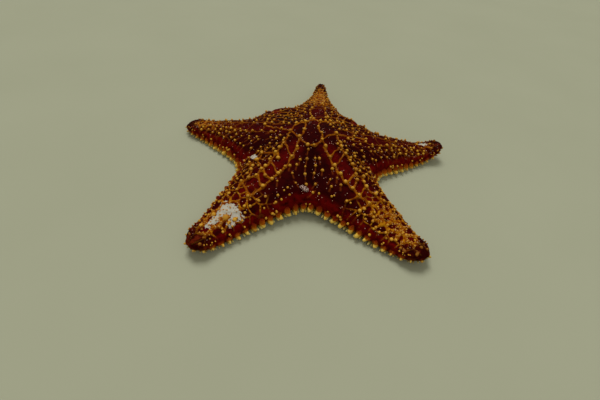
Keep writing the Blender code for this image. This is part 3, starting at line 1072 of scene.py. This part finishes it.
def skin_material():
    """Maroon hollows darkened with painted shade, ochre ridges, dark tips, a pale mouth side and bare
    whitish patches.
    """
    material, tree, shader = new_material("sea_star_skin", 0.6)
    fine = noise(tree, 1500)
    coarse = noise(tree, 260)
    broad = noise(tree, 70)
    medium = noise(tree, 560)
    half_coarse = fade(coarse, 0.3, 0.7)
    # The red mark sets how crimson the hollows are; their near black is partly the skin's own dark
    # maroon and partly painted shade on the flanks, in the hollows and in the valleys between the arms.
    red = times(mark(tree, "red"), fade(coarse, 0.15, 0.65))
    hollow_with_painted_shade = mix(red, (28, 0, 0), (108, 6, 3))
    ochre = mix(half_coarse, (146, 82, 4), (184, 124, 12))
    span = mix(half_coarse, (114, 50, 4), (158, 92, 8))
    ridge = mix(mark(tree, "bright"), span, ochre)
    grained = mix(fade(medium, 0.44, 0.56), (122, 50, 3), ochre)
    ragged = times(coarse, 0.7)
    near = plus(mark(tree, "ridge"), ragged)
    cell = plus(mark(tree, "cell"), ragged)
    bold = fade(mark(tree, "bold"), 0.1, 0.8)
    colour = mix(times(fade(near, 2.0, 1.1), times(bold, 0.6)), hollow_with_painted_shade, (112, 34, 6))
    colour = mix(times(fade(cell, 1.60, 1.00), mark(tree, "share")), colour, grained)
    colour = mix(times(fade(near, 1.50, 1.10), bold), colour, ridge)
    colour = mix(times(mark(tree, "streak"), 0.5), colour, (146, 66, 16))
    colour = mix(times(fade(cell, 1.75, 1.35), mark(tree, "ochre")), colour, grained)
    rib = mix(fade(broad, 0.3, 0.7), (146, 44, 6), (186, 92, 18))
    colour = mix(times(mark(tree, "rib"), 0.8), colour, rib)
    tip = mix(fade(coarse, 0.50, 0.70), (30, 1, 0), (100, 34, 8))
    colour = mix(times(mark(tree, "tip"), 0.8), colour, tip)
    under = mix(half_coarse, (150, 96, 40), (196, 150, 84))
    colour = mix(mark(tree, "mouth"), colour, under)
    patch = plus(mark(tree, "pale"), times(coarse, 1.3))
    open_cell = times(fade(mark(tree, "cell"), 0.2, 0.6), 0.16)
    colour = mix(fade(plus(patch, open_cell), 1.28, 1.33), colour, (184, 178, 162))
    put(shader.inputs["Roughness"], fade(fine, -1.2, 1.2))
    finish_shader(shader, colour, plus(fine, times(coarse, 0.8)), 0.0003)
    return material


def stud_material(name, foot, middle, top, along="height", foot_end=0.3, top_start=0.75):
    """Colour that climbs a stud from foot to top, darker at the arm tips, with some grain."""
    material, tree, shader = new_material(name, 0.5)
    fine = noise(tree, 1800)
    height = plus(mark(tree, along), plus(times(fine, 0.4), -0.2))
    colour = mix(fade(height, 0.0, foot_end), foot, middle)
    colour = mix(fade(height, foot_end, top_start), colour, top)
    colour = mix(times(fade(mark(tree, "tone"), 0.5, 0.0), 0.45), colour, foot)
    colour = mix(times(mark(tree, "tip"), 0.7), colour, (96, 32, 10))
    finish_shader(shader, colour, fine, 0.0002)
    return material


def bead_material():
    material, tree, shader = new_material("sea_star_beads", 0.45)
    fine = noise(tree, 900)
    colour = mix(fade(mark(tree, "tone"), 0.15, 0.8), (126, 40, 22), (196, 140, 60))
    colour = mix(times(fade(fine, 0.60, 0.66), 0.8), colour, (226, 190, 150))
    colour = mix(mark(tree, "pale"), colour, (222, 176, 150))
    colour = mix(times(mark(tree, "tip"), 0.6), colour, (86, 28, 10))
    finish_shader(shader, colour, fine, 0.0001)
    return material


def sieve_material():
    material, tree, shader = new_material("sieve_plate_grooves", 0.6)
    wave = noise(tree, 1400, 1.0)
    colour = mix(fade(wave, 0.46, 0.58), (70, 14, 8), (206, 180, 168))
    finish_shader(shader, colour, wave, 0.0004)
    return material


def floor_material():
    material, tree, shader = new_material("pale_floor", 0.9)
    put(shader.inputs["Base Color"], mix(noise(tree, 8), (163, 165, 141), (169, 171, 147)))
    return material


# ---- floor, lights and camera

def make_floor():
    mesh = bpy.data.meshes.new("floor")
    corners = [(FLOOR_HALF * x, FLOOR_HALF * y, 0) for x, y in ((-1, -1), (1, -1), (1, 1), (-1, 1))]
    mesh.from_pydata(corners, [], [(0, 1, 2, 3)])
    mesh.materials.append(floor_material())
    add_object("floor", mesh)


def make_light(name, place_at, softness, power):
    """Broad even light from a direction; softness is the angle it spreads over, in degrees."""
    data = bpy.data.lights.new(name, "SUN")
    data.angle = math.radians(softness)
    data.energy = power
    light = add_object(name, data)
    light.location = place_at
    light.rotation_euler = (-Vector(place_at)).to_track_quat("-Z", "Y").to_euler()


def make_world():
    world = bpy.data.worlds.new("soft room")
    world.use_nodes = True
    background = world.node_tree.nodes["Background"]
    background.inputs["Color"].default_value = ROOM_COLOUR
    background.inputs["Strength"].default_value = ROOM_STRENGTH
    bpy.context.scene.world = world


def make_camera():
    """Close above the front of the animal, looking down at it with a wide lens."""
    data = bpy.data.cameras.new("camera")
    data.lens = LENS
    data.clip_start = 0.01
    camera = add_object("camera", data)
    tilt = Matrix.Rotation(math.radians(90 - CAMERA_DOWN), 4, "X")
    roll = Matrix.Rotation(math.radians(CAMERA_ROLL), 4, "Z")
    spot = Vector((*DISC_CENTRE, 0)) + ARM_RADIUS * Vector(CAMERA_PLACE)
    camera.matrix_world = Matrix.Translation(spot) @ tilt @ roll
    bpy.context.scene.camera = camera


def dress_margin():
    """The row of marginal plates and the rows of larger and smaller spines below it."""
    plate = stud_material("plate_skin", (96, 10, 2), (194, 104, 14), (240, 200, 96),
                          along="drop", foot_end=0.54, top_start=0.80)
    spine = stud_material("spine_skin", (176, 98, 14), (210, 154, 38), (226, 188, 80))
    lower = stud_material("lower_spine_skin", (120, 96, 30), (170, 146, 62),
                          (214, 196, 120))
    upper_row = np.arange(PLATES_PER_SIDE) + 0.5
    lower_row = np.arange(0, PLATES_PER_SIDE, 0.5) + 0.25
    make_studs("margin_plates", margin_studs(upper_row, *PLATE_ROW), KNOB, 14, plate)
    make_studs("margin_spines", margin_studs(upper_row, *SPINE_ROW), SPINE, 12, spine)
    make_studs("lower_spines", margin_studs(lower_row, *LOWER_ROW), SPINE, 8, lower)


def dress_mouth_side():
    pale = stud_material("furrow_skin", (150, 96, 40), (198, 158, 92), (222, 200, 146))
    make_furrow_spines(pale)
    make_mouth_granules(pale)
    make_tube_feet(stud_material("tube_foot_skin", (186, 150, 96), (208, 186, 140),
                                 (226, 214, 182)))


def main():
    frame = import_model()
    bpy.context.scene.view_settings.view_transform = "Standard"
    make_world()
    make_camera()
    make_floor()
    make_light("key light", (-0.15, 0.55, 0.85), softness=28, power=1.85)
    make_light("fill light", (0.5, -0.6, 0.7), softness=60, power=0.33)
    skin = make_skin(skin_material())
    flesh = [name for name in frame["nodes"] if name != "sieve_plate"]
    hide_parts(*flesh)
    make_knobs(stud_material("knob_skin", (122, 48, 4), (180, 114, 14), (214, 162, 58)))
    make_beads(bead_material())
    dress_margin()
    dress_mouth_side()
    frame["nodes"]["sieve_plate"].data.materials[0] = sieve_material()


main()
